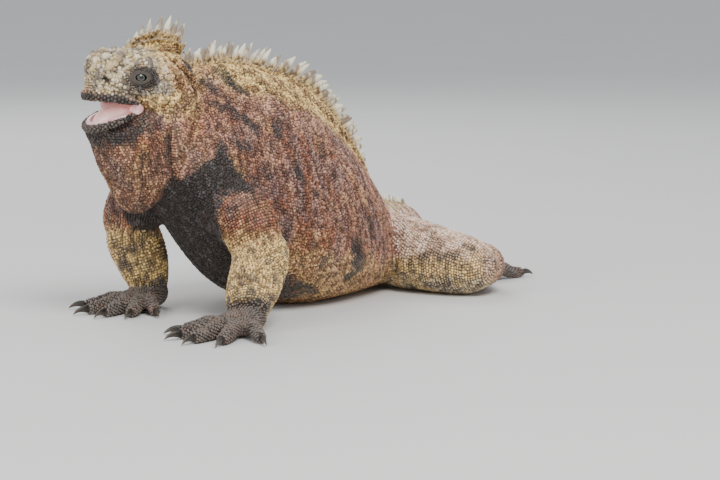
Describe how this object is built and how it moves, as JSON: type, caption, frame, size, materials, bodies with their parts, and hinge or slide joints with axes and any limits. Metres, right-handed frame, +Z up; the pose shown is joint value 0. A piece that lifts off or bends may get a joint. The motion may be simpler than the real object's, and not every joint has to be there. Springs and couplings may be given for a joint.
{
  "type": "marine iguana",
  "caption": "Life-size still model of an adult male marine iguana resting on its belly, chest raised on its forelegs and mouth open.",
  "frame": {"origin": "on the floor, at the middle of the flat on which the belly rests", "axes": "+X forward, towards the head; +Y to the animal's left; +Z up"},
  "size_m": [0.7291, 0.6094, 0.238],
  "materials": {
    "trunk_skin": "small matte scales, rust red with dark blotches",
    "face_skin": "cream and grey knobbed scales",
    "limb_skin": "rows of small matte scales, gold to rust",
    "dark_skin": "matte dark grey scales",
    "horn": "worn dark horn, half gloss",
    "mouth_lining": "moist pink",
    "eye": "dark, wet"
  },
  "bodies": {
    "root": {"head": "face_skin", "lower_jaw": "dark_skin", "tongue": "mouth_lining", "eye_left": "eye", "eye_right": "eye", "throat": "trunk_skin", "neck": "trunk_skin", "chest": "trunk_skin", "abdomen": "trunk_skin", "pelvis": "trunk_skin", "tail_base": "trunk_skin", "tail_middle": "trunk_skin", "tail_end": "trunk_skin", "tail_tip": "trunk_skin", "upper_arm_left": "limb_skin", "forearm_left": "limb_skin", "hand_left": "dark_skin", "upper_arm_right": "limb_skin", "forearm_right": "limb_skin", "hand_right": "dark_skin", "thigh_left": "limb_skin", "shank_left": "limb_skin", "foot_left": "dark_skin", "thigh_right": "limb_skin", "shank_right": "limb_skin", "foot_right": "dark_skin", "claw_hand_left_1": "horn", "claw_hand_left_2": "horn", "claw_hand_left_3": "horn", "claw_hand_left_4": "horn", "claw_hand_left_5": "horn", "claw_hand_right_1": "horn", "claw_hand_right_2": "horn", "claw_hand_right_3": "horn", "claw_hand_right_4": "horn", "claw_hand_right_5": "horn", "claw_foot_left_1": "horn", "claw_foot_left_2": "horn", "claw_foot_left_3": "horn", "claw_foot_left_4": "horn", "claw_foot_left_5": "horn", "claw_foot_right_1": "horn", "claw_foot_right_2": "horn", "claw_foot_right_3": "horn", "claw_foot_right_4": "horn", "claw_foot_right_5": "horn"}
  },
  "joints": []
}
